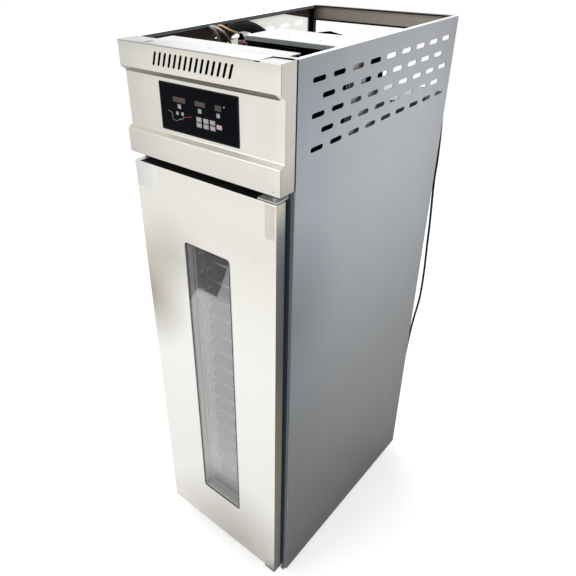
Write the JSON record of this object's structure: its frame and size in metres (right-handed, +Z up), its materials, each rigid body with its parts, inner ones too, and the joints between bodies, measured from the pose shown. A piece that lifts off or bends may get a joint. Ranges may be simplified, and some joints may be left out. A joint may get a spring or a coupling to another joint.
{
  "type": "proofing cabinet",
  "caption": "Tall single-door cabinet that chills, warms and steams trays of dough, with a narrow window and its machinery open on top.",
  "frame": {"origin": "on the floor, under the middle of the cabinet without its cord", "axes": "+X to the right of someone who faces the door, +Y from the door to the back, +Z up"},
  "size_m": [0.59, 1.107, 2.05],
  "materials": {
    "door_front": "fine vertical brushing, warm off-white",
    "case": "brushed stainless",
    "inner_steel": "polished stainless",
    "galvanised": "galvanised sheet",
    "fittings": "bright plated",
    "black_paint": "black satin",
    "slate_frame": "dark slate satin",
    "black_gloss": "near-black glossy overlay",
    "board": "green laminate",
    "foam": "rigid insulating foam",
    "glass": "clear tempered glass",
    "frame_grey": "grey satin",
    "rubber": "black rubber",
    "copper": "bare copper tube",
    "compressor_black": "black enamel",
    "fins": "black-coated fins",
    "fan_plastic": "black plastic"
  },
  "bodies": {
    "cabinet": {"left_side_panel": "case", "right_side_panel": "case", "rear_panel": "case", "base_pan": "galvanised", "machine_deck": "galvanised", "insulation_foam": "foam", "inner_liner": "inner_steel", "front_frame": "slate_frame", "front_top_rail": "galvanised", "rear_top_rail": "galvanised", "rear_left_post": "black_paint", "rear_right_post": "black_paint", "fascia": "door_front", "display_panel": "black_gloss", "control_board": "board", "upper_hinge_bracket": "galvanised", "lower_hinge_bracket": "galvanised", "upper_hinge_pin": "fittings", "lower_hinge_pin": "fittings", "tray_rack": "fittings", "air_duct_panel": "inner_steel", "cabin_fan_ring": "black_paint", "cabin_fan_motor": "galvanised", "evaporator_coil": "galvanised", "air_heater": "fittings", "humidifier_pan": "inner_steel", "humidifier_heater": "fittings", "condenser_coil": "fins", "condenser_shroud": "galvanised", "condenser_fan_ring": "black_paint", "condenser_fan_motor": "black_paint", "compressor": "compressor_black", "terminal_cover": "fan_plastic", "liquid_receiver": "compressor_black", "filter_drier": "copper", "insulated_suction_pipe": "rubber", "discharge_pipe": "copper", "liquid_pipe": "copper", "pipe_grommet": "rubber", "control_box": "galvanised", "control_box_lid": "galvanised", "cord_gland": "rubber", "power_cord": "rubber", "cord_coil": "rubber", "power_plug": "rubber"},
    "door": {"door_outer_skin": "door_front", "door_inner_skin": "inner_steel", "door_foam": "foam", "window_frame": "frame_grey", "outer_glass": "glass", "inner_glass": "glass", "door_seal": "rubber", "upper_hinge_bush": "fan_plastic", "lower_hinge_bush": "fan_plastic"},
    "cabin_fan_blades": {"cabin_fan_rotor": "fan_plastic"},
    "condenser_fan_blades": {"condenser_fan_rotor": "fan_plastic"},
    "front_left_foot": {"front_left_foot": "rubber"},
    "front_right_foot": {"front_right_foot": "rubber"},
    "rear_left_foot": {"rear_left_foot": "rubber"},
    "rear_right_foot": {"rear_right_foot": "rubber"}
  },
  "joints": [
    {"name": "door_hinge", "type": "hinge", "parent": "cabinet", "child": "door", "pos_m": [0.266, -0.464, 0.0951], "axis": [0, 0, 1], "range_deg": [0, 120]},
    {"name": "condenser_fan_spin", "type": "hinge", "parent": "cabinet", "child": "condenser_fan_blades", "pos_m": [0.0765, 0.0073, 1.893], "axis": [0, 1, 0], "continuous": true},
    {"name": "cabin_fan_spin", "type": "hinge", "parent": "cabinet", "child": "cabin_fan_blades", "pos_m": [0, 0.2613, 1.4], "axis": [0, 1, 0], "continuous": true},
    {"name": "front_left_foot_screw", "type": "slide", "parent": "cabinet", "child": "front_left_foot", "axis": [0, 0, 1], "range_m": [-0.012, 0.01]},
    {"name": "front_right_foot_screw", "type": "slide", "parent": "cabinet", "child": "front_right_foot", "axis": [0, 0, 1], "range_m": [-0.012, 0.01]},
    {"name": "rear_left_foot_screw", "type": "slide", "parent": "cabinet", "child": "rear_left_foot", "axis": [0, 0, 1], "range_m": [-0.012, 0.01]},
    {"name": "rear_right_foot_screw", "type": "slide", "parent": "cabinet", "child": "rear_right_foot", "axis": [0, 0, 1], "range_m": [-0.012, 0.01]}
  ]
}
